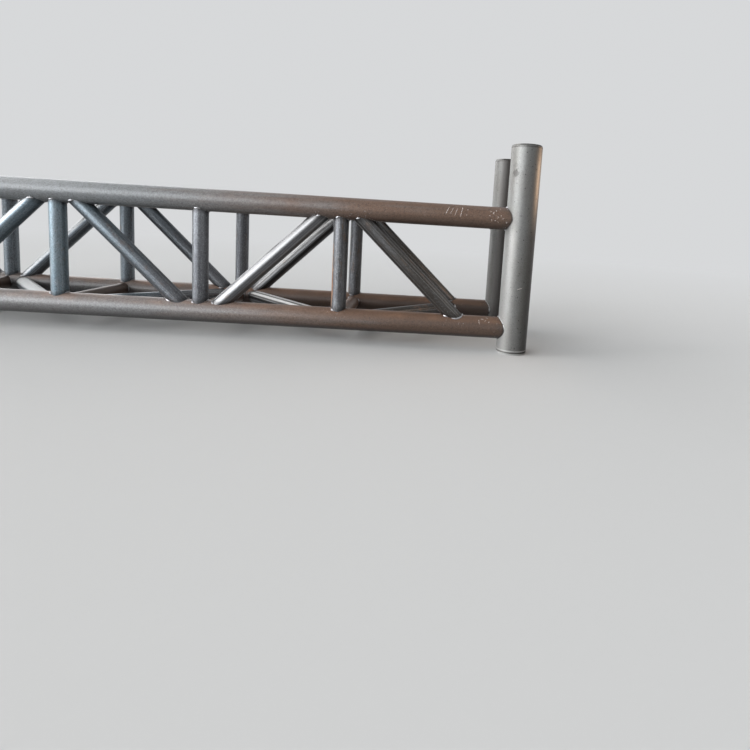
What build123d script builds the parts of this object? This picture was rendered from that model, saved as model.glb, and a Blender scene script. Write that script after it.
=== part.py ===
"""Crossbeam of a height restriction gantry, with the upright post pipes that end it.

The beam is a box truss of round steel tube. Four chords run from end to end at the corners of the
section. Each long side has verticals and a zigzag of diagonals, and the top and bottom have struts
across and a zigzag of braces. Every chord ends in a saddle-shaped cut that seats on an upright post,
and every web tube ends in one that seats on its chord. Posts and chords are hollow. The web tubes,
which the chords close at both ends, are left solid inside.

The frame stands on the four post feet. The origin is on the floor under the middle of the beam, X
runs along the beam, Y goes from the front side to the rear side and Z is up.
"""

import os

from build123d import *

# Layout of the beam, between tube axes, in millimetres
beam_depth = 800.0
beam_width = 800.0
bay_length = 1000.0
bays_each_side = 2
end_bay_length = 1290.0
node_offset = 85.0  # from a vertical or strut to the diagonal beside it, at the chord's axis

# Round tubes, outer diameter and wall
chord_diameter = 159.0
chord_wall = 6.0
web_diameter = 108.0
post_diameter = 219.0
post_wall = 8.0

# Upright posts
post_length = 1500.0
foot_drop = 180.0  # from the bottom chord's axis down to the post's foot
bevel_height = 12.0  # ground on both ends of a post, ready for welding
bevel_depth = 5.0

# Clearance between a saddle-cut end and the round tube that it seats on
fit_up_gap = 0.3

# Places that follow from the sizes
outer_vertical_x = bays_each_side * bay_length
post_x = outer_vertical_x + end_bay_length
bottom_z = foot_drop
top_z = foot_drop + beam_depth
side_y = {"front": -beam_width / 2, "rear": beam_width / 2}
level_z = {"top": top_z, "bottom": bottom_z}
end_x = {"left": -post_x, "right": post_x}
stations = [bay * bay_length for bay in range(-bays_each_side, bays_each_side + 1)]


def round_bar(start, end, diameter):
    """A solid round bar between two points of its axis."""
    run = Vector(*end) - Vector(*start)
    return Solid.make_cylinder(diameter / 2, run.length, Plane(origin=start, z_dir=run))


def round_tube(start, end, diameter, wall):
    """A round tube between two points of its axis."""
    return round_bar(start, end, diameter) - round_bar(start, end, diameter - 2 * wall)


def saddle_cut(bar, seats):
    """A bar or tube with its ends cut to sit on the round tubes that it runs between."""
    for seat in seats:
        bar = bar - seat
    # The offcuts inside the seats are smaller than the piece itself
    return max(bar.solids(), key=lambda solid: solid.volume)


def make_post(x, y):
    """An upright post pipe, open and bevelled at both ends."""
    inner = post_diameter / 2 - post_wall
    outer = post_diameter / 2
    profile = Polyline(
        (inner, 0),
        (outer - bevel_depth, 0),
        (outer, bevel_height),
        (outer, post_length - bevel_height),
        (outer - bevel_depth, post_length),
        (inner, post_length),
        close=True,
    )
    return Pos(x, y, 0) * revolve(Plane.XZ * make_face(profile), Axis.Z)


def zigzag():
    """Where each diagonal of one side meets its two chords, from the left end to the right.

    The first value of a pair is on the chord that carries the outermost nodes, the second on the
    chord facing it. The end diagonals are cut to the same length as the others.
    """
    right = [(outer_vertical_x + node_offset, outer_vertical_x + bay_length - node_offset)]
    for bay in range(bays_each_side):
        outward = outer_vertical_x - bay * bay_length - node_offset
        inward = outer_vertical_x - (bay + 1) * bay_length + node_offset
        right.append((outward, inward) if bay % 2 == 0 else (inward, outward))
    left = [(-first, -second) for first, second in right]
    return left + right[::-1]


def seat_on_chord(side, level):
    """The space that a chord and its fit-up gap take, for cutting the web tubes."""
    start = (end_x["left"], side_y[side], level_z[level])
    end = (end_x["right"], side_y[side], level_z[level])
    return round_bar(start, end, chord_diameter + 2 * fit_up_gap)


def seat_on_post(side, end):
    """The space that a post and its fit-up gap take, for cutting the chords."""
    foot = (end_x[end], side_y[side], 0)
    head = (end_x[end], side_y[side], post_length)
    return round_bar(foot, head, post_diameter + 2 * fit_up_gap)


def web_tube(start, end, seats):
    """A vertical, diagonal, strut or brace between two chords, which close its ends."""
    return saddle_cut(round_bar(start, end, web_diameter), seats)


chord_seats = {(side, level): seat_on_chord(side, level) for side in side_y for level in level_z}
parts = {}

# Posts, one across the chord ends at each corner
for side, y in side_y.items():
    for end, x in end_x.items():
        parts[f"{side}_{end}_post"] = make_post(x, y)

# Chords, from post to post
for side, y in side_y.items():
    post_seats = [seat_on_post(side, end) for end in end_x]
    for level, z in level_z.items():
        tube = round_tube((end_x["left"], y, z), (end_x["right"], y, z), chord_diameter, chord_wall)
        parts[f"{side}_{level}_chord"] = saddle_cut(tube, post_seats)

# Verticals and diagonals of the two long sides
for side, y in side_y.items():
    seats = [chord_seats[side, "top"], chord_seats[side, "bottom"]]
    for number, x in enumerate(stations, start=1):
        foot = (x, y, bottom_z)
        head = (x, y, top_z)
        parts[f"{side}_vertical_{number}"] = web_tube(foot, head, seats)
    for number, (head_x, foot_x) in enumerate(zigzag(), start=1):
        head = (head_x, y, top_z)
        foot = (foot_x, y, bottom_z)
        parts[f"{side}_diagonal_{number}"] = web_tube(head, foot, seats)

# Struts and braces across the bottom and the top
for level, z in level_z.items():
    seats = [chord_seats["front", level], chord_seats["rear", level]]
    for number, x in enumerate(stations, start=1):
        near = (x, side_y["front"], z)
        far = (x, side_y["rear"], z)
        parts[f"{level}_strut_{number}"] = web_tube(near, far, seats)
    for number, (near_x, far_x) in enumerate(zigzag(), start=1):
        near = (near_x, side_y["front"], z)
        far = (far_x, side_y["rear"], z)
        parts[f"{level}_brace_{number}"] = web_tube(near, far, seats)

os.makedirs("parts", exist_ok=True)
for name, shape in parts.items():
    export_step(shape, f"parts/{name}.step")
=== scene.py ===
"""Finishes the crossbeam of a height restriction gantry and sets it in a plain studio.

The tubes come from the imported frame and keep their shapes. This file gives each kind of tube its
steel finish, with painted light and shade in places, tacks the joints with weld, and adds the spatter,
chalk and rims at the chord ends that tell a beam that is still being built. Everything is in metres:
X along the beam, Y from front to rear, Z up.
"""

import math
import random

import bpy
from bpy.props import FloatProperty, FloatVectorProperty, IntProperty, PointerProperty
from bpy.types import Operator, Panel, PropertyGroup
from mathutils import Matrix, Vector


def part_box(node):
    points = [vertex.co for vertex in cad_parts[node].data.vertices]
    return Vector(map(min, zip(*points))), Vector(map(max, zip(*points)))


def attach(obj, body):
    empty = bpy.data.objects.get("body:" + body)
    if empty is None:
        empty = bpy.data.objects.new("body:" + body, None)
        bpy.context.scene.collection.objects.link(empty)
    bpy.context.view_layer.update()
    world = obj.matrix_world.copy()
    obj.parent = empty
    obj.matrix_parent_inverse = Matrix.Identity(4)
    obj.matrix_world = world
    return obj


bl_info = {
    "name": "Gantry crossbeam finish",
    "version": (1, 0, 0),
    "blender": (4, 5, 0),
    "location": "3D View > Sidebar > Gantry",
    "description": "Steel finishes, tack welds and a studio for a box truss crossbeam",
    "category": "Object",
}

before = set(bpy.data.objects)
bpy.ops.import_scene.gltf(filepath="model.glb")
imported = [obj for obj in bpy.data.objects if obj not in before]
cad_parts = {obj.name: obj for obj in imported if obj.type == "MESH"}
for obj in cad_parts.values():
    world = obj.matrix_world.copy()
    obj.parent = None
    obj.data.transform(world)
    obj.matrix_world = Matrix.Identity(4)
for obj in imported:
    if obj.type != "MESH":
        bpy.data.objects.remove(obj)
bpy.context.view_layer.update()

# Places read from the frame
CHORD_LOW, CHORD_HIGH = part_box("front_bottom_chord")
TOP_CHORD_LOW, TOP_CHORD_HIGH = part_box("front_top_chord")
POST_LOW, POST_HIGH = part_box("front_right_post")
WEB_LOW, WEB_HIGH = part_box("front_vertical_3")

CHORD_RADIUS = (CHORD_HIGH.z - CHORD_LOW.z) / 2
POST_RADIUS = (POST_HIGH.x - POST_LOW.x) / 2
WEB_RADIUS = (WEB_HIGH.x - WEB_LOW.x) / 2
BOTTOM_Z = (CHORD_HIGH.z + CHORD_LOW.z) / 2
TOP_Z = (TOP_CHORD_HIGH.z + TOP_CHORD_LOW.z) / 2
MIDDLE_Z = (TOP_Z + BOTTOM_Z) / 2
HALF_DEPTH = (TOP_Z - BOTTOM_Z) / 2
HALF_WIDTH = -(CHORD_HIGH.y + CHORD_LOW.y) / 2
POST_X = (POST_HIGH.x + POST_LOW.x) / 2
POST_HEIGHT = POST_HIGH.z
STATIONS = [sum(corner.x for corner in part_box(f"front_vertical_{n}")) / 2 for n in range(1, 6)]
BAY = STATIONS[1] - STATIONS[0]

# Sizes that no box tells: from a vertical or strut to the zigzag's node, and the posts' wall and bevel
NODE_OFFSET = 0.085
POST_WALL = 0.008
BEVEL_HEIGHT = 0.012

SIDES = {"front": -HALF_WIDTH, "rear": HALF_WIDTH}
LEVELS = {"bottom": BOTTOM_Z, "top": TOP_Z}
ENDS = {"left": -POST_X, "right": POST_X}
FACES = (*SIDES, *LEVELS)

# Angles that the diagonals and the braces make with the chords
SLOPE = math.atan2(2 * HALF_DEPTH, BAY - 2 * NODE_OFFSET)
SKEW = math.atan2(2 * HALF_WIDTH, BAY - 2 * NODE_OFFSET)

# The turn that lays the grain of a finish along an upright tube
UPRIGHT = (0.0, -math.pi / 2, 0.0)


def a_colour(name, description, default):
    """A colour that a user would change, in linear red, green and blue."""
    return FloatVectorProperty(name=name, description=description, default=default,
                               subtype="COLOR", size=3, min=0.0, max=1.0)


def a_length(name, description, default):
    """A length in metres that a user would change."""
    return FloatProperty(name=name, description=description, default=default,
                         subtype="DISTANCE", unit="LENGTH", min=0.0)


def an_amount(name, description, default, unit="NONE"):
    """A strength, power or density with no upper bound."""
    return FloatProperty(name=name, description=description, default=default, unit=unit, min=0.0)


class GantrySteel(PropertyGroup):
    """Colours of the steel"""
    chord_brown: a_colour("Chord brown", "Rusty mill scale along the right", (0.168, 0.100, 0.068))
    # Chord grey is partly a painted reflection of the light from the left
    chord_grey: a_colour("Chord grey", "Rubbed mill scale along the left", (0.180, 0.190, 0.196))
    web_blue: a_colour("Web tube blue", "Skin of slanting tubes near the middle", (0.122, 0.168, 0.200))
    upright_blue: a_colour("Upright blue", "Skin of the verticals near the middle", (0.165, 0.222, 0.258))
    web_grey: a_colour("Web tube grey", "Skin of the web tubes farther out", (0.128, 0.133, 0.146))
    web_warm: a_colour("Web tube warm", "Skin of the web tubes at the right end", (0.066, 0.059, 0.052))
    web_rubbed: a_colour("Web tube rubbed", "Rubbed metal on the web tubes", (0.377, 0.389, 0.406))
    web_rust: a_colour("Web tube rust", "Warm bloom on tubes and welds", (0.181, 0.116, 0.080))
    strut_brown: a_colour("Strut brown", "Mill scale of the struts", (0.112, 0.066, 0.046))
    post_silver: a_colour("Post silver", "Bare satin steel of the posts", (0.166, 0.166, 0.160))
    post_shade: a_colour("Post shade", "Duller patches on the posts", (0.142, 0.137, 0.127))
    # This orange colours a strip down the last near vertical and the painted light on top of the bottom
    # chords
    orange_strip_and_top_light: a_colour("Edge rust", "Rust on a vertical and the bottom chords", (0.493, 0.254, 0.138))
    # Bore rust is rust inside the posts, and painted shade on the rear chords
    bore_rust_and_rear_shade: a_colour("Bore rust", "Rust inside the posts and on rear chords", (0.138, 0.072, 0.043))
    # Also laid as painted highlight on the rising diagonals, the lower braces, the posts' sides and feet,
    # and the chord-end rims
    bright_steel_and_highlight: a_colour("Ground steel", "Steel ground or rubbed bright", (0.700, 0.690, 0.670))
    tack_silver: a_colour("Tack silver", "Weld metal of tacks and droplets", (0.440, 0.440, 0.455))
    # Soot is also laid as painted shade: under, towards the right and at the rear of the chords, on the
    # rear post and tacks, and on shaded sides of tubes and posts
    soot_and_shade: a_colour("Soot", "Smoke, dark scale and grime", (0.026, 0.022, 0.020))
    chalk: a_colour("Chalk", "Strokes on near chords, a scratch on a post", (0.507, 0.464, 0.435))


class GantryWelds(PropertyGroup):
    """Sizes of the tack welds, the chord-end rims, the spatter and the chalk strokes"""
    tack_length: a_length("Tack length", "Length of a tack along the seam", 0.046)
    tack_radius: a_length("Tack radius", "Half the thickness of a tack", 0.0072)
    ripples: IntProperty(name="Ripples", description="Ripples along one tack", default=5, min=1)
    rim_radius: a_length("Rim radius", "Half the width of the rim of a chord end", 0.0022)
    spatter_reach: a_length("Spatter reach", "How far spatter lands from a seam", 0.090)
    spatter_size: a_length("Spatter size", "Radius of the largest droplet", 0.0026)
    spatter_density: an_amount("Spatter density", "Droplets a square metre at a seam", 2600.0)
    stroke_width: a_length("Stroke width", "Width of a chalk stroke", 0.0060)
    seed: IntProperty(name="Seed", description="Moves the tacks, droplets and strokes", default=7)


class GantryStudio(PropertyGroup):
    """Lights, floor and camera"""
    floor: a_colour("Floor", "Colour of the floor", (0.60, 0.60, 0.595))
    floor_bounce: a_colour("Floor bounce", "Colour that the floor throws on the beam", (0.13, 0.13, 0.13))
    backdrop: a_colour("Backdrop", "Colour behind the beam", (0.68, 0.69, 0.70))
    window_light: an_amount("Window light", "Strength of the light from the near left", 2.9)
    edge_light: an_amount("Edge light", "Strength of the light from the far left", 3.3)
    roof_light: an_amount("Roof light", "Strength of the light from the upper left", 2.0)
    rear_light: an_amount("Rear light", "Strength of the light from the left, behind the beam", 1.7)
    door_light: an_amount("Door light", "Power of the warm lamp by the right posts", 2.4, "POWER")
    fill_light: an_amount("Fill light", "Strength of the even light all round", 0.30)
    camera_place: FloatVectorProperty(
        name="Camera place", description="Where the camera stands",
        default=(2.6008, -3.9141, 0.9106), subtype="TRANSLATION", unit="LENGTH")
    camera_turn: FloatVectorProperty(
        name="Camera turn", description="Turn of the camera about X, Y and Z",
        default=(1.45314, -0.06161, -0.01901), subtype="EULER", unit="ROTATION")
    camera_lens: FloatProperty(name="Lens", description="Focal length on a 36 mm sensor, in millimetres",
                               default=23.26, min=1.0)
    camera_shift: FloatVectorProperty(name="Shift", default=(-0.0796, -0.1249), size=2,
                                      description="Shift of the picture, as a share of its width")


def overload(operation, swapped=False):
    """A Python operator on fields, which adds one Math node."""
    def operator(field, other):
        values = (other, field) if swapped else (field, other)
        return field.tree.math(operation, *values)
    return operator


class Field:
    """A number or colour that varies over a surface or along a path. Sums on it add Math nodes."""

    __add__ = __radd__ = overload("ADD")
    __mul__ = __rmul__ = overload("MULTIPLY")
    __sub__ = overload("SUBTRACT")
    __rsub__ = overload("SUBTRACT", swapped=True)
    __truediv__ = overload("DIVIDE")
    __rtruediv__ = overload("DIVIDE", swapped=True)

    def __init__(self, tree, socket):
        self.tree = tree
        self.socket = socket

    def __neg__(self):
        return self.math("MULTIPLY", -1.0)

    def __abs__(self):
        return self.math("ABSOLUTE")

    def math(self, operation, *others):
        """One Math node on this field and the others."""
        return self.tree.math(operation, self, *others)

    def step(self, low, high):
        """A smooth mask, 0 up to low and 1 from high on, or the other way round."""
        return self.tree.node("ShaderNodeMapRange", {"Value": self, "From Min": low, "From Max": high},
                              interpolation_type="SMOOTHSTEP")


class NodeTree:
    """A node tree that is written as expressions."""

    def __init__(self, tree):
        self.tree = tree

    def node(self, kind, sockets=(), output=0, **settings):
        """Adds a node, sets it up, joins its sockets and returns one of its outputs as a field."""
        node = self.tree.nodes.new(kind)
        for name, value in settings.items():
            setattr(node, name, value)
        for key, value in dict(sockets).items():
            self.join(value, node.inputs[key])
        return Field(self, node.outputs[output]) if node.outputs else None

    def join(self, value, socket):
        """Links a field to a socket, or sets the socket to a plain value."""
        if isinstance(value, Field):
            self.tree.links.new(value.socket, socket)
        elif socket.type == "RGBA":
            socket.default_value = (*value[:3], 1.0)
        else:
            socket.default_value = value

    def math(self, operation, *values):
        """One Math node."""
        return self.node("ShaderNodeMath", enumerate(values), operation=operation)

    def vector(self, operation, *values, output=0):
        """One Vector Math node."""
        return self.node("ShaderNodeVectorMath", enumerate(values), output, operation=operation)

    def axes(self, vector):
        """The three parts of a vector."""
        return [self.node("ShaderNodeSeparateXYZ", {0: vector}, output=axis) for axis in "XYZ"]


def length_of(first, second):
    """The length of a pair of offsets at right angles."""
    return (first * first + second * second).math("SQRT")


class Finish(NodeTree):
    """The nodes of one finish: a base colour, the coats laid over it and the surface they end in.

    The fields x, y and z are the place on the beam in metres. Its turn lays the grain along a tube.
    """

    def __init__(self, name, base, turn=(0.0, 0.0, 0.0)):
        self.material = bpy.data.materials.new(name)
        self.material.use_nodes = True
        super().__init__(self.material.node_tree)
        self.tree.nodes.clear()
        self.colour = base
        self.turn = turn
        self.place = self.node("ShaderNodeTexCoord", output="Object")
        self.x, self.y, self.z = self.axes(self.place)

    def rear(self):
        """1 on the rear side of the beam and 0 on the front."""
        return self.y.step(-0.1, 0.1)

    def from_post_axis(self):
        """How far outwards of the nearest post's axis, along the beam and across it."""
        return abs(self.x) - POST_X, abs(self.y) - HALF_WIDTH

    def near_seam(self, ragged):
        """1 on a web tube where it meets its chords, with an edge torn by noise."""
        from_chord = length_of(abs(self.y) - HALF_WIDTH, abs(self.z - MIDDLE_Z) - HALF_DEPTH)
        return (from_chord + (ragged - 0.5) * 0.04).step(0.112, 0.084)

    def mapped(self, size, turn, shift):
        """The place on the beam, measured in units of a size and from a shifted, turned frame."""
        return self.node("ShaderNodeMapping", {
            "Vector": self.place, "Rotation": turn, "Scale": size, "Location": (shift, shift, shift),
        }, vector_type="TEXTURE")

    def grain(self, along, across, shift=0.0, detail=2.0, roughness=0.5):
        """Noise whose blotches have a size along the tube and one across it, in metres."""
        place = self.mapped((along, across, across), self.turn, shift)
        return self.node("ShaderNodeTexNoise", {
            "Vector": place, "Scale": 1.0, "Detail": detail, "Roughness": roughness})

    def flecks(self, coarse, fine):
        """Coarse and fine flecks of scale, each by its sizes along and across and its shift."""
        return self.grain(*coarse, detail=3.0, roughness=0.7), self.grain(*fine, roughness=0.7)

    def dots(self, spacing, shift=0.0):
        """Distance from the nearest of many scattered points, as a share of their spacing."""
        place = self.mapped((spacing, spacing, spacing), (0.0, 0.0, 0.0), shift)
        return self.node("ShaderNodeTexVoronoi", {"Vector": place, "Scale": 1.0}, output="Distance")

    def spot(self, place, size, ragged):
        """1 at a place, falling to 0 over a size along each axis, with an edge torn by noise."""
        share = self.vector("DIVIDE", self.vector("SUBTRACT", self.place, place), size)
        away = self.vector("LENGTH", share, output="Value")
        return (away + (ragged - 0.5) * 1.6).step(1.0, 0.5)

    def mix(self, factor, first, second):
        """The first colour where the factor is 0, the second where it is 1."""
        return self.node("ShaderNodeMix", {0: factor, 6: first, 7: second}, output=2, data_type="RGBA")

    def coat(self, share, colour):
        """Lays one more colour over the finish, as thick as its share says."""
        self.colour = self.mix(share, self.colour, colour)

    def steel(self, roughness, metallic, height, depth, specular=0.5):
        """Ends the finish in one metal surface, with a bump of the given depth in metres."""
        bump = self.node("ShaderNodeBump", {"Height": height, "Distance": depth, "Strength": 1.0})
        surface = self.node("ShaderNodeBsdfPrincipled", {
            "Base Color": self.colour, "Roughness": roughness, "Metallic": metallic,
            "Specular IOR Level": specular, "Normal": bump})
        self.node("ShaderNodeOutputMaterial", {"Surface": surface})
        return self.material


# Marks on the tubes: where each is, and how far it reaches along X, Y and Z
ORANGE_STRIP = ((1.946, -0.420, 0.46), (0.034, 0.026, 0.34))
SMUDGE = ((3.211, -0.476, 1.299), (0.026, 0.034, 0.038))
FAINT_SMUDGE = ((3.206, -0.472, 1.352), (0.026, 0.034, 0.030))
SCRATCH = ((3.298, -0.509, 0.490), (0.024, 0.030, 0.020))
SCRATCH_LEAN = 0.35

# A painted shade line and highlight line round a post, this far inwards of its bevels
DARK_LINE = 0.006
BRIGHT_LINE = 0.018


def chord_finish(steel):
    """Brown mill scale, greyer to the left with painted reflection, with scorch and painted shadow at the
    posts.
    """
    finish = Finish("chord_mill_scale", steel.chord_brown)
    streaks = finish.grain(0.70, 0.040, detail=3.0, roughness=0.55)
    patches = finish.grain(0.22, 0.09, shift=7.7, detail=4.0, roughness=0.6)
    mottle, speckle = finish.flecks((0.022, 0.014, 4.1), (0.009, 0.008, 1.3))

    # Greyer towards the left: partly grey mill scale, partly a painted reflection of the light from the
    # left
    leftness = finish.x * -0.46 + 1.17 + (streaks - 0.5) * 0.6 + (patches - 0.5) * 0.6
    greyness_and_sheen = leftness.step(0.0, 1.0) * (0.82 + finish.z.step(BOTTOM_Z, TOP_Z) * 0.18)
    finish.coat(greyness_and_sheen, steel.chord_grey)
    finish.coat(patches.step(0.50, 0.72) * (0.36 - greyness_and_sheen * 0.30), steel.web_rust)
    finish.coat(streaks.step(0.52, 0.72) * 0.22, steel.chord_grey)
    finish.coat(mottle.step(0.54, 0.34) * 0.30, steel.soot_and_shade)
    finish.coat(speckle.step(0.50, 0.32) * 0.40, steel.soot_and_shade)
    finish.coat(speckle.step(0.58, 0.70) * (0.08 + greyness_and_sheen * 0.06), steel.bright_steel_and_highlight)

    # Painted shade: the rear chords darkened with a rust-brown tint, the lower ones most
    rear = finish.rear()
    low = 0.42 + finish.z.step(TOP_Z, BOTTOM_Z) * 0.58
    finish.coat(rear * low * finish.x.step(-0.5, 1.0) * 0.55, steel.bore_rust_and_rear_shade)
    # Painted shade: darker under the bottom chords, towards the right and at the rear, and low on the
    # right of the top chords
    right = finish.x.step(1.0, 2.8)
    underside = finish.z.step(BOTTOM_Z - 0.010, BOTTOM_Z - 0.065)
    underside = underside * (0.45 + finish.x.step(-1.0, 2.0) * 0.35)
    painted_shade = low * (right * 0.46 + rear * 0.32)
    upper_chord = finish.z.step(MIDDLE_Z, MIDDLE_Z + 0.1)
    shaded = finish.z.step(TOP_Z + 0.030, TOP_Z - 0.060) * upper_chord * right * 0.50
    finish.coat(underside.math("MAXIMUM", painted_shade).math("MAXIMUM", shaded), steel.soot_and_shade)
    # Painted light: the top of the bottom chords is made paler, tinted orange, most in patches
    painted_top_light = finish.z.step(BOTTOM_Z + 0.020, BOTTOM_Z + 0.065) * finish.z.step(MIDDLE_Z, MIDDLE_Z - 0.1)
    finish.coat(painted_top_light * (0.10 + patches.step(0.40, 0.65) * 0.14), steel.orange_strip_and_top_light)

    # A dark line round each chord end at a post: heat scorch and a painted shadow of the gap; smoke
    # farther out
    from_post = length_of(*finish.from_post_axis()) - POST_RADIUS
    scorch_and_gap_shadow = (from_post + (mottle - 0.5) * 0.012).step(0.014, 0.007) * 0.75
    smoky = (from_post + (patches - 0.5) * 0.05).step(0.075, 0.015) * 0.25
    finish.coat(scorch_and_gap_shadow.math("MAXIMUM", smoky), steel.soot_and_shade)

    roughness = 0.42 + (streaks - 0.5) * 0.14 + (speckle - 0.5) * 0.20 + scorch_and_gap_shadow * 0.2
    metallic = 0.30 - greyness_and_sheen * 0.20 - scorch_and_gap_shadow * 0.1
    height = speckle * 0.22 + mottle * 0.34 + patches * 0.6
    return finish.steel(roughness, metallic, height, depth=0.0006, specular=0.55)


def above_axis(finish, middle_x, rise):
    """Height above the axes of the diagonals that rise, or fall, to the right, two bays apart."""
    from_middle = (finish.x - middle_x + BAY).math("FLOORED_MODULO", 2 * BAY) - BAY
    return (finish.z - MIDDLE_Z) * math.cos(SLOPE) - from_middle * (rise * math.sin(SLOPE))


def nowhere(finish):
    """The share of a coat that a web tube doesn't have."""
    return 0.0


def painted_highlight_diagonals(finish):
    """A painted highlight along the upper side of the rising diagonals."""
    above = above_axis(finish, 1.5 * BAY, 1)
    left = above.step(0.0, 0.4 * WEB_RADIUS) * finish.x.step(1.0, 0.5) * 0.34
    return left + above.step(-0.4 * WEB_RADIUS, 0.3 * WEB_RADIUS) * finish.x.step(0.5, 1.0) * 0.22


def painted_shade_diagonals(finish):
    """A painted shade along the lower side of the falling diagonals."""
    return above_axis(finish, 0.5 * BAY, -1).step(0.1 * WEB_RADIUS, -0.6 * WEB_RADIUS) * 0.42


def painted_shade_uprights(finish):
    """A painted shade down the right side of the last verticals."""
    return finish.x.step(STATIONS[-1], STATIONS[-1] + 0.6 * WEB_RADIUS) * 0.40


def painted_highlight_braces(finish):
    """A painted highlight along the upper side of the lower braces."""
    upper = finish.z.step(BOTTOM_Z, BOTTOM_Z + 0.6 * WEB_RADIUS)
    low = finish.z.step(MIDDLE_Z, MIDDLE_Z - 0.1)
    return upper * low * (0.55 + finish.x.step(0.0, 1.0) * 0.15)


def web_finish(steel, name, turn, blue, polish, left_polish, near_lines=1.0, bands=0.0,
               highlit_side=nowhere, shaded_side=nowhere):
    """Drawn tube, blue-grey near the middle of the beam and warmer at its right end.

    Two shares say how polished it is on the right and on the left. It shows fine drawn lines where it
    is polished, on the near side only by their share, and broad dark bands towards the right by
    theirs. Two functions give the shares of a painted highlight on one side and a painted shade.
    """
    finish = Finish(name, steel.web_grey, turn)
    polish = left_polish + finish.x.step(0.5, 1.3) * (polish - left_polish)
    drawn_share = near_lines + finish.rear() * (1.0 - near_lines)
    lines = polish * drawn_share
    body = finish.grain(0.60, 0.060, shift=2.3)
    drawn = finish.grain(8.0, 0.009, shift=5.9, detail=1.0)
    scores = finish.grain(9.0, 0.046, shift=12.3, detail=0.0)
    broad = finish.grain(8.0, 0.020, shift=6.9, detail=0.0)
    bloom = finish.grain(0.13, 0.05, shift=9.1, detail=4.0, roughness=0.65)
    scuffs = finish.grain(0.060, 0.012, shift=3.3, detail=3.0, roughness=0.7)
    mottle, speckle = finish.flecks((0.020, 0.011, 4.7), (0.010, 0.007, 1.7))

    warmth = (finish.x + (bloom - 0.5) * 1.0).step(1.7, 2.5)
    ragged_x = finish.x + (bloom - 0.5) * 0.5
    near_side = 0.45 + finish.y.step(0.1, -0.1) * 0.55
    finish.coat(ragged_x.step(-1.25, -1.00) * ragged_x.step(0.95, 0.10) * near_side, blue)
    finish.coat(warmth, steel.web_warm)
    finish.coat(polish * 0.38, steel.soot_and_shade)
    rubbed = finish.mix(warmth * 0.45, steel.web_rubbed, steel.web_warm)
    finish.coat(body.step(0.40, 0.80) * 0.22, rubbed)
    finish.coat(drawn.step(0.56, 0.68) * lines * 0.55, rubbed)
    finish.coat(drawn.step(0.46, 0.36) * lines * 0.35, steel.soot_and_shade)
    scored = abs(scores - 0.5).step(0.022, 0.008)
    finish.coat(scored * lines * (0.45 - warmth * 0.20), steel.bright_steel_and_highlight)
    finish.coat(scuffs.step(0.54, 0.70) * (0.38 - polish * 0.30), rubbed)
    finish.coat((bloom + warmth * 0.06).step(0.58, 0.76) * 0.60, steel.web_rust)
    finish.coat(mottle.step(0.48, 0.30) * (0.38 - polish * 0.24), steel.soot_and_shade)
    finish.coat(speckle.step(0.50, 0.32) * (0.50 - polish * 0.32), steel.soot_and_shade)
    finish.coat(speckle.step(0.56, 0.70) * (0.50 - polish * 0.30), rubbed)

    # A painted highlight on one side and a painted shade on another
    bright = highlit_side(finish)
    finish.coat(bright, steel.bright_steel_and_highlight)
    finish.coat(shaded_side(finish), steel.soot_and_shade)
    band = broad.step(0.55, 0.47) * finish.x.step(0.0, 0.9) * drawn_share
    finish.coat(band * bands, steel.soot_and_shade)
    # An orange strip down the left edge of the last near vertical
    finish.coat(finish.spot(*ORANGE_STRIP, bloom) * 0.7, steel.orange_strip_and_top_light)
    finish.coat(finish.near_seam(bloom) * 0.60, steel.soot_and_shade)

    unevenness = (body - 0.5) * 0.06 + (mottle - scuffs + speckle - 0.5) * (0.22 - polish * 0.14)
    roughness = 0.46 - polish * 0.14 + bright * 0.3 + bloom.step(0.58, 0.76) * 0.12 + unevenness
    metallic = 0.62 + polish * 0.24 - bloom.step(0.58, 0.76) * 0.30
    height = drawn * lines * 0.5 + mottle * 0.2 + speckle * (0.4 - polish * 0.3)
    return finish.steel(roughness, metallic, height, depth=0.0004)


def strut_finish(steel, name, turn):
    """Brown mill scale of the tubes across the beam."""
    finish = Finish(name, steel.strut_brown, turn)
    streaks = finish.grain(0.40, 0.030, shift=4.3, detail=3.0, roughness=0.6)
    bloom = finish.grain(0.10, 0.06, shift=8.1, detail=4.0, roughness=0.65)
    mottle, speckle = finish.flecks((0.020, 0.012, 6.7), (0.007, 0.006, 2.9))

    right = finish.x.step(0.0, 1.6)
    finish.coat(streaks.step(0.50, 0.76) * (0.3 - right * 0.2), steel.chord_grey)
    finish.coat(bloom.step(0.44, 0.68) * (0.2 + right * 0.6), steel.web_rust)
    finish.coat(0.30 - right * 0.30, steel.soot_and_shade)
    finish.coat(mottle.step(0.50, 0.32) * 0.35, steel.soot_and_shade)
    finish.coat(speckle.step(0.48, 0.30) * 0.45, steel.soot_and_shade)
    finish.coat(finish.near_seam(bloom) * 0.30, steel.soot_and_shade)

    roughness = 0.48 + (streaks - 0.5) * 0.2 + (speckle - 0.5) * 0.16
    metallic = 0.30 - right * 0.2 + streaks.step(0.46, 0.74) * 0.2
    height = streaks * 0.3 + mottle * 0.5 + speckle * 0.5
    return finish.steel(roughness, metallic, height, depth=0.0006)


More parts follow.
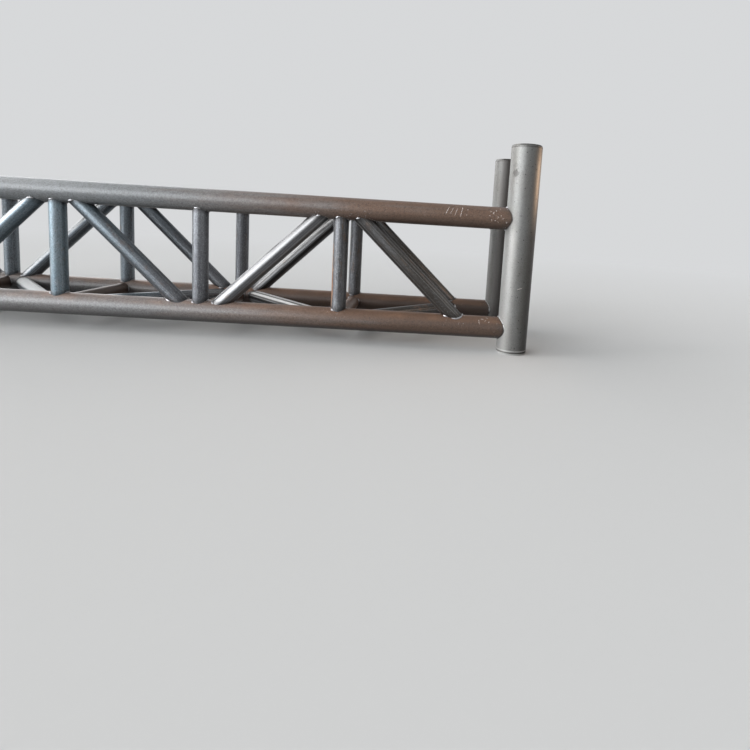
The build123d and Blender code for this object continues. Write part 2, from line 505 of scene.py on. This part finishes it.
def post_finish(steel):
    """Bare satin pipe, spotted and scuffed, rusty inside, with painted highlight and shade on its sides
    and bevels.
    """
    finish = Finish("post_bare_pipe", steel.post_silver, UPRIGHT)
    brushing = finish.grain(0.45, 0.020, shift=6.1, detail=3.0, roughness=0.6)
    clouds = finish.grain(0.30, 0.10, shift=3.7, detail=4.0, roughness=0.55)
    mottle, speckle = finish.flecks((0.016, 0.012, 1.9), (0.006, 0.006, 8.3))
    spots = finish.dots(0.036, shift=0.02)

    finish.coat(clouds.step(0.35, 0.70), steel.post_shade)
    finish.coat(brushing.step(0.55, 0.80) * 0.4, steel.post_shade)
    finish.coat(mottle.step(0.48, 0.30) * 0.26, steel.soot_and_shade)
    finish.coat(speckle.step(0.48, 0.30) * 0.30, steel.soot_and_shade)
    finish.coat(speckle.step(0.60, 0.74) * 0.16, steel.bright_steel_and_highlight)
    finish.coat((spots + (speckle - 0.5) * 0.10).step(0.16, 0.09) * 0.70, steel.soot_and_shade)
    smudges = finish.spot(*SMUDGE, mottle) * 0.62 + finish.spot(*FAINT_SMUDGE, mottle) * 0.22
    finish.coat(smudges, steel.soot_and_shade)
    from_line = (finish.z - SCRATCH[0][2]) - (finish.x - SCRATCH[0][0]) * SCRATCH_LEAN
    finish.coat(finish.spot(*SCRATCH, mottle) * abs(from_line).step(0.0042, 0.0014) * 0.8, steel.chalk)

    along, across = finish.from_post_axis()
    below_chord = finish.z.step(0.97, 0.84)
    right = finish.x.step(-0.1, 0.1)
    rear = finish.rear()
    towards_beam = (-along).step(0.2 * POST_RADIUS, 0.9 * POST_RADIUS)
    away_from_beam = along.step(-0.95 * POST_RADIUS, -0.35 * POST_RADIUS)
    outer_side = along.step(-0.1 * POST_RADIUS, 0.8 * POST_RADIUS)
    # Painted highlight on the front posts' side towards the beam, below the top chord
    finish.coat(towards_beam * below_chord * (1.0 - rear) * 0.26, steel.bright_steel_and_highlight)
    # Painted shade on the rear right post, lightest on its edge towards the beam
    finish.coat(rear * right * (0.26 + away_from_beam * 0.58), steel.soot_and_shade)
    # Painted shade on the posts' outer sides, deeper below the top chord on the right posts
    finish.coat(outer_side * (0.20 + below_chord * right * 0.48), steel.soot_and_shade)

    from_end = finish.z.math("MINIMUM", POST_HEIGHT - finish.z)
    at_foot = finish.z.step(0.10, 0.05)
    rim = (from_end + (speckle - 0.5) * 0.004).step(BEVEL_HEIGHT + 0.001, BEVEL_HEIGHT - 0.001)
    inside = length_of(along, across).step(POST_RADIUS - POST_WALL + 0.001, POST_RADIUS - POST_WALL)
    dark_line = abs(from_end - BEVEL_HEIGHT - DARK_LINE).step(0.006, 0.002)
    bright_line = abs(from_end - BEVEL_HEIGHT - BRIGHT_LINE).step(0.006, 0.002)
    # Painted shade and highlight at the post ends: a dark line above each bevel, a bright line and a lit
    # bevel at the foot, a darkened top bevel
    finish.coat(dark_line * 0.6, steel.soot_and_shade)
    finish.coat(bright_line * at_foot * 0.35, steel.bright_steel_and_highlight)
    finish.coat(rim * (1.0 - at_foot) * 0.45, steel.soot_and_shade)
    finish.coat(rim * at_foot * 0.60, steel.bright_steel_and_highlight)
    finish.coat(inside, steel.bore_rust_and_rear_shade)

    unevenness = (brushing - 0.5) * 0.10 + (clouds - 0.5) * 0.10 + (speckle - 0.5) * 0.16
    roughness = 0.43 + unevenness + inside * 0.35 - rim * 0.10
    metallic = 0.48 - inside * 0.40
    height = brushing * 0.2 + speckle * 0.4 + mottle * 0.5
    return finish.steel(roughness, metallic, height, depth=0.0005, specular=0.3)


def weld_finish(steel, name):
    """Weld metal, tinted here and there by heat, with painted shade at the rear."""
    finish = Finish(name, steel.tack_silver)
    tint = finish.grain(0.012, 0.012, shift=1.1)
    finish.coat(tint.step(0.45, 0.75) * 0.55, steel.web_rust)
    # Painted shade on the rear tacks and droplets
    finish.coat(finish.rear() * 0.5, steel.soot_and_shade)
    roughness = 0.32 + (tint - 0.5) * 0.2
    return finish.steel(roughness, metallic=0.85, height=tint, depth=0.0003)


def rim_finish(steel):
    """Chord end, dark with scorch and painted shadow, but for ground steel and painted glint on the upper
    side of the bottom chords.
    """
    finish = Finish("ground_rim", steel.soot_and_shade)
    wear = finish.grain(0.030, 0.030, shift=2.7)
    # Ground steel with a painted glint on the upper side of the chords, fainter on the top and rear ones;
    # the rest dark with scorch and a painted shadow
    upper = finish.z.step(BOTTOM_Z - 0.020, BOTTOM_Z + 0.030)
    bright = wear.step(0.34, 0.54) * upper * (1.0 - finish.z.step(BOTTOM_Z, TOP_Z) * 0.8)
    bright = bright * (1.0 - finish.rear() * 0.55)
    finish.coat(bright, steel.bright_steel_and_highlight)
    return finish.steel(roughness=0.42, metallic=bright * 0.8, height=wear, depth=0.0003)


def chalk_finish(steel):
    """Dusty chalk, broken up by the scale that it was drawn over."""
    finish = Finish("chalk_strokes", steel.chord_brown)
    grain = finish.grain(0.005, 0.005, shift=5.3, detail=3.0, roughness=0.7)
    finish.coat(grain.step(0.42, 0.62), steel.chalk)
    return finish.steel(roughness=0.85, metallic=0.0, height=grain, depth=0.0004)


def link_object(name, data):
    """A new object in the scene."""
    made = bpy.data.objects.new(name, data)
    bpy.context.scene.collection.objects.link(made)
    return made


class Shaper(NodeTree):
    """A Geometry Nodes tree that turns a mesh of paths or surfaces into a finished shape."""

    def __init__(self, name, **inlets):
        group = bpy.data.node_groups.new(name, "GeometryNodeTree")
        super().__init__(group)
        group.interface.new_socket("Shape", in_out="OUTPUT", socket_type="NodeSocketGeometry")
        for label, kind in {"Base": "Geometry", "Material": "Material", **inlets}.items():
            group.interface.new_socket(label, in_out="INPUT", socket_type=f"NodeSocket{kind}")
        self.entry = group.nodes.new("NodeGroupInput")

    def inlet(self, label):
        """One of the tree's named inputs."""
        return Field(self, self.entry.outputs[label])

    def random(self, low, high, seed):
        """A number drawn for each point."""
        sockets = {2: low, 3: high, 8: seed}
        return self.node("FunctionNodeRandomValue", sockets, output=1, data_type="FLOAT")

    def close(self, shape):
        """Ends the tree in smooth real faces with the material, and returns it."""
        shape = self.node("GeometryNodeRealizeInstances", {0: shape})
        shape = self.node("GeometryNodeSetShadeSmooth", {0: shape})
        shape = self.node("GeometryNodeSetMaterial", {0: shape, 2: self.inlet("Material")})
        self.node("NodeGroupOutput", {0: shape})
        return self

    def grow(self, name, base, slot, values):
        """Runs the tree on a mesh and keeps what it makes as a plain piece."""
        carrier = link_object(f"{name}_base", base)
        modifier = carrier.modifiers.new("shape", "NODES")
        modifier.node_group = self.tree
        for socket in self.tree.interface.items_tree:
            if socket.name in values:
                modifier[socket.identifier] = values[socket.name]
        evaluated = carrier.evaluated_get(bpy.context.evaluated_depsgraph_get())
        mesh = bpy.data.meshes.new_from_object(evaluated)
        bpy.data.objects.remove(carrier)
        piece = link_object(name, mesh)
        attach(piece, "root")


# Weld beads: sides of their section, depth of a ripple as a share, scale and height of their grain
BEAD_SIDES = 8
RIPPLE_DEPTH = 0.10
GRAIN_SCALE = 160.0
GRAIN_HEIGHT = 0.003

# The smallest droplet, as a share of the largest
SMALLEST_DROPLET = 0.3

# Chalk: how thick it lies and the step between points of a stroke, in metres
CHALK_THICKNESS = 0.0006
STROKE_STEP = 0.004


def bead_tree():
    """Sweeps weld metal along paths, rippled, and rounded off at the ends of each."""
    tree = Shaper("weld_beads", Radius="Float", Ripples="Float", Rounding="Float")
    path = tree.node("GeometryNodeMeshToCurve", {0: tree.inlet("Base")})
    along = tree.node("GeometryNodeSplineParameter", output="Factor")
    from_middle = along * 2.0 - 1.0
    rounded = 1.0 - from_middle * from_middle * tree.inlet("Rounding")
    rounded = rounded.math("MAXIMUM", 0.05).math("SQRT")
    ripple = 1.0 + (along * tree.inlet("Ripples") * (2.0 * math.pi)).math("SINE") * RIPPLE_DEPTH
    section = tree.node("GeometryNodeCurvePrimitiveCircle", {"Resolution": BEAD_SIDES, "Radius": 1.0})
    bead = tree.node("GeometryNodeCurveToMesh", {
        "Curve": path, "Profile Curve": section, "Scale": tree.inlet("Radius") * rounded * ripple,
        "Fill Caps": True})
    grain = tree.node("ShaderNodeTexNoise", {"Scale": GRAIN_SCALE, "Detail": 1.0}, output="Color")
    centred = tree.vector("SUBTRACT", grain, (0.5, 0.5, 0.5))
    unevenness = tree.node("ShaderNodeVectorMath", {0: centred, "Scale": GRAIN_HEIGHT}, operation="SCALE")
    return tree.close(tree.node("GeometryNodeSetPosition", {"Geometry": bead, "Offset": unevenness}))


def spatter_tree():
    """Scatters droplets over surfaces, thickest at the seams and none beyond their reach."""
    tree = Shaper("spatter", Seams="Object", Density="Float", Reach="Float", Size="Float", Seed="Int")
    seed = tree.inlet("Seed")
    points = tree.node("GeometryNodeDistributePointsOnFaces", {
        "Mesh": tree.inlet("Base"), "Density": tree.inlet("Density"), "Seed": seed})
    seams = tree.node("GeometryNodeObjectInfo", {"Object": tree.inlet("Seams")}, output="Geometry")
    away = tree.node("GeometryNodeProximity", {0: seams}, output="Distance", target_element="EDGES")
    nearness = (1.0 - away / tree.inlet("Reach")).math("MAXIMUM", 0.0)
    landed = tree.random(0.0, 1.0, seed + 1.0).math("LESS_THAN", nearness * nearness)
    droplet = tree.node("GeometryNodeMeshIcoSphere", {"Radius": 1.0, "Subdivisions": 1})
    size = tree.inlet("Size") * tree.random(SMALLEST_DROPLET, 1.0, seed + 2.0)
    return tree.close(tree.node("GeometryNodeInstanceOnPoints", {
        "Points": points, "Selection": landed, "Instance": droplet, "Scale": size}))


def stroke_tree():
    """Sweeps flat strokes along paths drawn on a sheet, and wraps the sheet round a near chord.

    On the sheet, X runs along the beam and Y round the chord, upwards from its front.
    """
    tree = Shaper("chalk_strokes", Width="Float", Thickness="Float", Level="Float")
    path = tree.node("GeometryNodeMeshToCurve", {0: tree.inlet("Base")})
    path = tree.node("GeometryNodeResampleCurve", {"Curve": path, "Length": STROKE_STEP}, mode="LENGTH")
    path = tree.node("GeometryNodeSetCurveNormal", {"Curve": path}, mode="Z_UP")
    section = tree.node("GeometryNodeCurvePrimitiveQuadrilateral", {
        "Width": tree.inlet("Width"), "Height": tree.inlet("Thickness")})
    strokes = tree.node("GeometryNodeCurveToMesh", {
        "Curve": path, "Profile Curve": section, "Scale": 1.0, "Fill Caps": True})
    x, round_chord, lift = tree.axes(tree.node("GeometryNodeInputPosition"))
    turn = round_chord / CHORD_RADIUS
    reach = lift + CHORD_RADIUS
    wrapped = tree.node("ShaderNodeCombineXYZ", {
        "X": x,
        "Y": SIDES["front"] - reach * turn.math("COSINE"),
        "Z": reach * turn.math("SINE") + tree.inlet("Level"),
    })
    return tree.close(tree.node("GeometryNodeSetPosition", {
        "Geometry": strokes, "Position": wrapped}))


class Seat:
    """The saddle where the end of one round tube meets the side of another."""

    def __init__(self, foot, along, radius, main, main_radius, outward):
        self.foot = Vector(foot)
        self.along = Vector(along).normalized()
        self.radius = radius
        self.main = Vector(main)
        self.main_radius = main_radius
        self.outward = Vector(outward)
        self.across = (self.main - self.along * self.main.dot(self.along)).normalized()

    def seam(self, turn, lift=0.0):
        """A point of the seam, turned from the side that faces out of the beam, and lifted off it."""
        spoke = self.outward * math.cos(turn) + self.across * math.sin(turn)
        offset = spoke * self.radius
        level = offset - self.main * offset.dot(self.main)
        rise = self.along - self.main * self.along.dot(self.main)
        half = level.dot(rise) / rise.length_squared
        excess = (level.length_squared - self.main_radius ** 2) / rise.length_squared
        point = offset + self.along * (math.sqrt(half * half - excess) - half)
        normal = (point - self.main * point.dot(self.main)).normalized()
        return self.foot + point + (spoke + normal) * lift

    def arc(self, turn, length, lift=0.0, points=9):
        """Points along a length of the seam, centred on a turn."""
        nudge = 0.001
        speed = (self.seam(turn + nudge) - self.seam(turn - nudge)).length / (2 * nudge)
        span = length / speed
        return [self.seam(turn + span * (step / (points - 1) - 0.5), lift) for step in range(points)]

    def ring(self, points):
        """Points all round the seam."""
        return [self.seam(2 * math.pi * step / points) for step in range(points)]


def zigzag():
    """Where each diagonal meets the chord of the outermost nodes and the chord that faces it."""
    for half in (-1, 1):
        for bay in range(3):
            inner, outer = bay * BAY + NODE_OFFSET, (bay + 1) * BAY - NODE_OFFSET
            yield (half * inner, half * outer) if bay % 2 == 0 else (half * outer, half * inner)


def web_seats(face):
    """Both seats of every web tube in one face of the beam: front, rear, top or bottom."""
    if face in SIDES:
        y = SIDES[face]
        outward = (0.0, math.copysign(1.0, y), 0.0)
        first, second = (y, BOTTOM_Z), (y, TOP_Z)
        runs = [(x, x) for x in STATIONS] + [(foot, head) for head, foot in zigzag()]
    else:
        z = LEVELS[face]
        outward = (0.0, 0.0, math.copysign(1.0, z - MIDDLE_Z))
        first, second = (SIDES["front"], z), (SIDES["rear"], z)
        runs = [(x, x) for x in STATIONS] + list(zigzag())
    for start_x, end_x in runs:
        start, end = Vector((start_x, *first)), Vector((end_x, *second))
        for foot, head in ((start, end), (end, start)):
            seat = Seat(foot, head - foot, WEB_RADIUS, (1, 0, 0), CHORD_RADIUS, outward)
            yield seat, foot is start


def chord_seats():
    """The seats of the chords on the posts."""
    for y in SIDES.values():
        for z in LEVELS.values():
            for x in ENDS.values():
                along = (-math.copysign(1.0, x), 0, 0)
                outward = (0.0, math.copysign(1.0, y), 0.0)
                yield Seat((x, y, z), along, CHORD_RADIUS, (0, 0, 1), POST_RADIUS, outward)


def path_mesh(name, paths, closed=False):
    """A mesh of edges that run along paths."""
    points, edges = [], []
    for path in paths:
        first = len(points)
        points.extend(path)
        edges.extend((first + step, first + step + 1) for step in range(len(path) - 1))
        if closed:
            edges.append((len(points) - 1, first))
    mesh = bpy.data.meshes.new(name)
    mesh.from_pydata(points, edges, [])
    return mesh


def skin_mesh(name, tubes, sides=48):
    """The outsides of round tubes, for droplets to land on."""
    points, faces = [], []
    for start, end, radius in tubes:
        axis = (end - start).normalized()
        spoke = axis.orthogonal().normalized() * radius
        turned = axis.cross(spoke)
        first = len(points)
        for step in range(sides):
            turn = 2 * math.pi * step / sides
            offset = spoke * math.cos(turn) + turned * math.sin(turn)
            points.extend((start + offset, end + offset))
            here, after = first + 2 * step, first + 2 * ((step + 1) % sides)
            faces.append((here, after, after + 1, here + 1))
    mesh = bpy.data.meshes.new(name)
    mesh.from_pydata(points, [], faces)
    return mesh


# Turns of the tacks round a joint, from the side that faces out of the beam, in degrees
FOOT_TACKS = (-46.0, 98.0, 188.0)
HEAD_TACKS = (-12.0, 108.0, 228.0)
CHORD_TACKS = (96.0, 180.0, 264.0)
TACK_DRIFT = 14.0

# Shortest and longest tack, as shares of the length that the settings give
TACK_SHARES = (0.6, 1.15)

# The last foot of the near side is welded along more of its seam
LONG_TACK_TURN = 36.0
LONG_TACK_LENGTH = 0.105
LONG_TACK_POINTS = 25

# Points round a chord-end rim, and round a seam that droplets gather at
RIM_POINTS = 72
SEAM_POINTS = 24


def tack_paths(seat, turns, welds, dice):
    """The middle lines of one joint's tacks, each a little out of place."""
    for turn in turns:
        turn = math.radians(turn + dice.uniform(-TACK_DRIFT, TACK_DRIFT))
        length = welds.tack_length * dice.uniform(*TACK_SHARES)
        yield seat.arc(turn, length, welds.tack_radius * 0.15)


def paint(nodes, material):
    """Gives CAD nodes a finish in place of their plain material."""
    for name in nodes:
        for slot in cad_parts[name].material_slots:
            slot.material = material


def numbered(prefix, numbers):
    """Node names of one family."""
    return [f"{prefix}_{number}" for number in numbers]


class GANTRY_OT_finish_posts(Operator):
    """Give the four posts their bare pipe finish"""
    bl_idname = "gantry.finish_posts"
    bl_label = "Posts"

    def execute(self, context):
        steel = context.scene.gantry_steel
        paint([f"{side}_{end}_post" for side in SIDES for end in ENDS], post_finish(steel))
        return {"FINISHED"}


class GANTRY_OT_finish_chords(Operator):
    """Give the four chords their mill scale"""
    bl_idname = "gantry.finish_chords"
    bl_label = "Chords"

    def execute(self, context):
        steel = context.scene.gantry_steel
        paint([f"{side}_{level}_chord" for side in SIDES for level in LEVELS], chord_finish(steel))
        return {"FINISHED"}


class GANTRY_OT_finish_sides(Operator):
    """Give the verticals and diagonals of the two long sides their drawn tube finish"""
    bl_idname = "gantry.finish_sides"
    bl_label = "Verticals and diagonals"

    def execute(self, context):
        steel = context.scene.gantry_steel
        upright = web_finish(steel, "web_tube_upright", UPRIGHT, steel.upright_blue,
                             polish=0.25, left_polish=0.22, shaded_side=painted_shade_uprights)
        rising = web_finish(steel, "web_tube_rising", (0.0, -SLOPE, 0.0), steel.web_blue,
                            polish=1.0, left_polish=0.55, near_lines=0.3, bands=0.7,
                            highlit_side=painted_highlight_diagonals)
        falling = web_finish(steel, "web_tube_falling", (0.0, SLOPE, 0.0), steel.web_blue,
                             polish=0.55, left_polish=0.32, shaded_side=painted_shade_diagonals)
        for side in SIDES:
            paint(numbered(f"{side}_vertical", range(1, 6)), upright)
            paint(numbered(f"{side}_diagonal", (1, 3, 5)), rising)
            paint(numbered(f"{side}_diagonal", (2, 4, 6)), falling)
        return {"FINISHED"}


class GANTRY_OT_finish_crossings(Operator):
    """Give the struts and braces across the beam their finishes"""
    bl_idname = "gantry.finish_crossings"
    bl_label = "Struts and braces"

    def execute(self, context):
        steel = context.scene.gantry_steel
        across = strut_finish(steel, "strut_mill_scale", (0.0, 0.0, math.pi / 2))
        forward = web_finish(steel, "brace_tube_forward", (0.0, 0.0, SKEW), steel.web_blue,
                             polish=0.6, left_polish=0.4)
        backward = web_finish(steel, "brace_tube_backward", (0.0, 0.0, -SKEW), steel.web_blue,
                              polish=0.6, left_polish=0.4, bands=0.85, highlit_side=painted_highlight_braces)
        for level in LEVELS:
            paint(numbered(f"{level}_strut", range(1, 6)), across)
            paint(numbered(f"{level}_brace", (1, 3, 5)), backward)
            paint(numbered(f"{level}_brace", (2, 4, 6)), forward)
        return {"FINISHED"}


class GANTRY_OT_tack_joints(Operator):
    """Tack every web tube to its chords and every chord to its posts"""
    bl_idname = "gantry.tack_joints"
    bl_label = "Tack welds"

    def execute(self, context):
        steel = context.scene.gantry_steel
        welds = context.scene.gantry_welds
        dice = random.Random(welds.seed)
        beads = bead_tree()
        values = {"Material": weld_finish(steel, "tack_weld_metal"),
                  "Radius": welds.tack_radius, "Ripples": float(welds.ripples), "Rounding": 1.0}
        for face in FACES:
            paths = []
            for seat, is_foot in web_seats(face):
                paths.extend(tack_paths(seat, FOOT_TACKS if is_foot else HEAD_TACKS, welds, dice))
                if face == "front" and is_foot and seat.foot.x > STATIONS[-1] + BAY / 2:
                    turn = math.radians(LONG_TACK_TURN)
                    paths.append(seat.arc(turn, LONG_TACK_LENGTH, points=LONG_TACK_POINTS))
            slot = "web_steel" if face in SIDES else "strut_steel"
            beads.grow(f"{face}_tacks", path_mesh("tacks", paths), slot, values)
        paths = []
        for seat in chord_seats():
            paths.extend(tack_paths(seat, CHORD_TACKS, welds, dice))
        beads.grow("post_tacks", path_mesh("tacks", paths), "post_steel", values)
        return {"FINISHED"}


class GANTRY_OT_grind_chord_ends(Operator):
    """Run a rim round each chord end, where it is bevelled for welding: ground steel, scorch, painted
    shadow and glint
    """
    bl_idname = "gantry.grind_chord_ends"
    bl_label = "Ground chord ends"

    def execute(self, context):
        steel = context.scene.gantry_steel
        welds = context.scene.gantry_welds
        rings = [seat.ring(RIM_POINTS) for seat in chord_seats()]
        values = {"Material": rim_finish(steel),
                  "Radius": welds.rim_radius, "Ripples": 0.0, "Rounding": 0.0}
        bead_tree().grow("chord_end_rims", path_mesh("rims", rings, closed=True), "chord_steel", values)
        return {"FINISHED"}


class GANTRY_OT_scatter_spatter(Operator):
    """Scatter weld droplets over the chords round the seams"""
    bl_idname = "gantry.scatter_spatter"
    bl_label = "Spatter"

    def execute(self, context):
        steel = context.scene.gantry_steel
        welds = context.scene.gantry_welds
        seats = [seat for face in FACES for seat, _ in web_seats(face)] + list(chord_seats())
        rings = [seat.ring(SEAM_POINTS) for seat in seats]
        seams = link_object("seams", path_mesh("seams", rings, closed=True))
        reach = POST_X - POST_RADIUS
        tubes = [(Vector((-reach, y, z)), Vector((reach, y, z)), CHORD_RADIUS)
                 for y in SIDES.values() for z in LEVELS.values()]
        values = {"Material": weld_finish(steel, "spatter_metal"), "Seams": seams,
                  "Density": welds.spatter_density, "Reach": welds.spatter_reach,
                  "Size": welds.spatter_size, "Seed": welds.seed}
        spatter_tree().grow("chord_spatter", skin_mesh("skins", tubes), "chord_steel", values)
        bpy.data.objects.remove(seams)
        return {"FINISHED"}


class GANTRY_OT_chalk_chords(Operator):
    """Leave chalk strokes on the two near chords"""
    bl_idname = "gantry.chalk_chords"
    bl_label = "Chalk strokes"

    def execute(self, context):
        steel = context.scene.gantry_steel
        welds = context.scene.gantry_welds
        dice = random.Random(welds.seed)
        tree = stroke_tree()
        values = {"Material": chalk_finish(steel), "Width": welds.stroke_width,
                  "Thickness": CHALK_THICKNESS}
        slanting = [stroke(STROKES_X + x, height, *run) for x, height, *run in STROKES]
        strokes = {"top": slanting + ticks(dice, *HATCH), "bottom": ticks(dice, *SCRIBBLE)}
        for level, paths in strokes.items():
            values["Level"] = LEVELS[level]
            tree.grow(f"{level}_chalk", path_mesh("strokes", paths), "chord_steel", values)
        return {"FINISHED"}


# Slanting strokes on the sheet: where each starts along the beam and up, and how far it runs
STROKES_X = 2.74
STROKES = (
    (0.000, 0.004, 0.026, 0.064),
    (0.034, 0.012, 0.018, 0.040),
    (0.062, -0.002, 0.022, 0.056),
    (0.104, -0.006, 0.016, 0.068),
    (0.144, 0.004, 0.006, 0.008),
    (0.152, 0.044, 0.006, 0.008),
)

# Short strokes scattered at the chord ends: how many, between which places along the beam, between
# which heights on the sheet, and how far the tallest rises
HATCH = (15, (3.05, 3.17), (-0.040, 0.075), 0.018)
SCRIBBLE = (9, (3.02, 3.11), (0.026, 0.090), 0.014)
TICK_LEAN = (-0.010, 0.014)
SMALLEST_RISE = 0.004


def stroke(x, height, lean, rise):
    """A straight stroke on the sheet, from its lower end."""
    return [Vector((x + lean * share, height + rise * share, 0.0)) for share in (0.0, 0.5, 1.0)]


def ticks(dice, count, places, heights, tallest):
    """Short strokes scattered over a stretch of a chord."""
    return [stroke(dice.uniform(*places), dice.uniform(*heights),
                   dice.uniform(*TICK_LEAN), dice.uniform(SMALLEST_RISE, tallest)) for _ in range(count)]


class GANTRY_OT_set_studio(Operator):
    """Set the floor, the backdrop, the lights and the camera"""
    bl_idname = "gantry.set_studio"
    bl_label = "Studio"

    def execute(self, context):
        studio = context.scene.gantry_studio
        lay_floor(studio)
        hang_backdrop(studio, context.scene)
        for name, (angle, source, colour) in SUNS.items():
            sun = hang_lamp(name, "SUN", getattr(studio, name), source, colour)
            sun.data.angle = math.radians(angle)
        hang_door_lamp(studio.door_light)
        place_camera(studio, context.scene)
        context.scene.view_settings.view_transform = "Standard"
        return {"FINISHED"}


# The floor, just under the posts' feet, and where it starts and ends to fade into the backdrop
FLOOR_RADIUS = 30.0
FLOOR_SIDES = 96
FLOOR_DROP = 0.0005
FADE = (2.5, 14.0)

# Distant lights: how wide each one is in degrees, where its light comes from and its colour
SUNS = {
    "window_light": (44.0, (-0.66, -0.72, 0.22), (0.94, 0.97, 1.0)),
    "edge_light": (40.0, (-0.95, -0.32, 0.0), (0.94, 0.97, 1.0)),
    "roof_light": (40.0, (-0.84, -0.03, 0.50), (1.0, 1.0, 1.0)),
    "rear_light": (50.0, (-0.74, 0.60, 0.30), (0.96, 0.98, 1.0)),
}

# The warm lamp beside the heads of the right posts, with its spread in degrees
DOOR_PLACE = (4.15, -0.25, 1.35)
DOOR_SOURCE = (0.96, 0.15, 0.20)
DOOR_COLOUR = (1.0, 0.66, 0.42)
DOOR_SIZE = 0.5
DOOR_SPREAD = 120.0

# The camera's sensor in millimetres
SENSOR_WIDTH = 36.0


def lay_floor(studio):
    """A pale round floor that fades into the backdrop and doesn't hide the beam from below."""
    rim = [(FLOOR_RADIUS * math.cos(turn), FLOOR_RADIUS * math.sin(turn), -FLOOR_DROP)
           for turn in (2 * math.pi * n / FLOOR_SIDES for n in range(FLOOR_SIDES))]
    mesh = bpy.data.meshes.new("floor")
    mesh.from_pydata(rim, [], [tuple(range(FLOOR_SIDES))])
    floor = link_object("floor", mesh)
    finish = Finish("floor_pale", studio.floor_bounce)
    distance = (finish.x * finish.x * 0.5 + finish.y * finish.y).math("SQRT")
    camera = finish.node("ShaderNodeLightPath", output="Is Camera Ray")
    mirrored = finish.node("ShaderNodeLightPath", output="Is Glossy Ray")
    seen = camera.math("MAXIMUM", mirrored)
    underneath = finish.node("ShaderNodeNewGeometry", output="Backfacing")
    finish.coat(seen, studio.floor)
    ground = finish.node("ShaderNodeBsdfDiffuse", {"Color": finish.colour})
    haze = finish.node("ShaderNodeEmission", {"Color": studio.backdrop})
    clear = finish.node("ShaderNodeBsdfTransparent")
    far = distance.step(*FADE) * seen
    surface = finish.node("ShaderNodeMixShader", {0: far, 1: ground, 2: haze})
    surface = finish.node("ShaderNodeMixShader", {0: underneath * camera, 1: surface, 2: clear})
    finish.node("ShaderNodeOutputMaterial", {"Surface": surface})
    mesh.materials.append(finish.material)


def hang_backdrop(studio, scene):
    """A pale backdrop for what the camera and the steel see, over an even light all round."""
    world = bpy.data.worlds.new("studio")
    world.use_nodes = True
    sky = NodeTree(world.node_tree)
    sky.tree.nodes.clear()
    rays = [sky.node("ShaderNodeLightPath", output=f"Is {kind} Ray")
            for kind in ("Camera", "Glossy", "Transmission")]
    seen = rays[0].math("MAXIMUM", rays[1]).math("MAXIMUM", rays[2])
    light = sky.node("ShaderNodeBackground", {"Color": (1.0, 1.0, 1.0), "Strength": studio.fill_light})
    backdrop = sky.node("ShaderNodeBackground", {"Color": studio.backdrop, "Strength": 1.0})
    surface = sky.node("ShaderNodeMixShader", {0: seen, 1: light, 2: backdrop})
    sky.node("ShaderNodeOutputWorld", {"Surface": surface})
    scene.world = world


def hang_lamp(name, kind, power, source, colour):
    """A lamp whose light comes from a direction."""
    lamp = bpy.data.lights.new(name, kind)
    lamp.energy = power
    lamp.color = colour
    holder = link_object(name, lamp)
    holder.rotation_mode = "QUATERNION"
    holder.rotation_quaternion = Vector(source).to_track_quat("Z", "Y")
    return holder


def hang_door_lamp(power):
    """A small warm lamp beside the heads of the right posts, which the camera doesn't see."""
    holder = hang_lamp("door_light", "AREA", power, DOOR_SOURCE, DOOR_COLOUR)
    holder.location = DOOR_PLACE
    holder.visible_camera = False
    holder.data.size = DOOR_SIZE
    holder.data.spread = math.radians(DOOR_SPREAD)


def place_camera(studio, scene):
    """The camera at the picture's place, turn and framing."""
    data = bpy.data.cameras.new("camera")
    data.sensor_width = SENSOR_WIDTH
    data.lens = studio.camera_lens
    data.shift_x, data.shift_y = studio.camera_shift
    camera = link_object("camera", data)
    camera.location = studio.camera_place
    camera.rotation_euler = studio.camera_turn
    scene.camera = camera


class GANTRY_PT_sidebar(Panel):
    """The gantry's finishes, welds and studio"""
    bl_idname = "GANTRY_PT_sidebar"
    bl_label = "Gantry crossbeam"
    bl_space_type = "VIEW_3D"
    bl_region_type = "UI"
    bl_category = "Gantry"

    def draw(self, context):
        scene = context.scene
        for settings in (scene.gantry_steel, scene.gantry_welds, scene.gantry_studio):
            box = self.layout.box()
            for name in settings.__annotations__:
                box.prop(settings, name)
        for operator in OPERATORS:
            self.layout.operator(operator.bl_idname)


OPERATORS = (
    GANTRY_OT_finish_posts,
    GANTRY_OT_finish_chords,
    GANTRY_OT_finish_sides,
    GANTRY_OT_finish_crossings,
    GANTRY_OT_tack_joints,
    GANTRY_OT_grind_chord_ends,
    GANTRY_OT_scatter_spatter,
    GANTRY_OT_chalk_chords,
    GANTRY_OT_set_studio,
)
CLASSES = (GantrySteel, GantryWelds, GantryStudio, *OPERATORS, GANTRY_PT_sidebar)


def register():
    """Adds the classes and the scene's settings."""
    for cls in CLASSES:
        bpy.utils.register_class(cls)
    bpy.types.Scene.gantry_steel = PointerProperty(type=GantrySteel)
    bpy.types.Scene.gantry_welds = PointerProperty(type=GantryWelds)
    bpy.types.Scene.gantry_studio = PointerProperty(type=GantryStudio)


def unregister():
    """Takes them out again."""
    del bpy.types.Scene.gantry_studio
    del bpy.types.Scene.gantry_welds
    del bpy.types.Scene.gantry_steel
    for cls in reversed(CLASSES):
        bpy.utils.unregister_class(cls)


def main():
    """Makes every piece in order."""
    register()
    bpy.ops.gantry.finish_posts()
    bpy.ops.gantry.finish_chords()
    bpy.ops.gantry.finish_sides()
    bpy.ops.gantry.finish_crossings()
    bpy.ops.gantry.tack_joints()
    bpy.ops.gantry.grind_chord_ends()
    bpy.ops.gantry.scatter_spatter()
    bpy.ops.gantry.chalk_chords()
    bpy.ops.gantry.set_studio()
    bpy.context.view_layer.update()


if __name__ == "__main__":
    main()
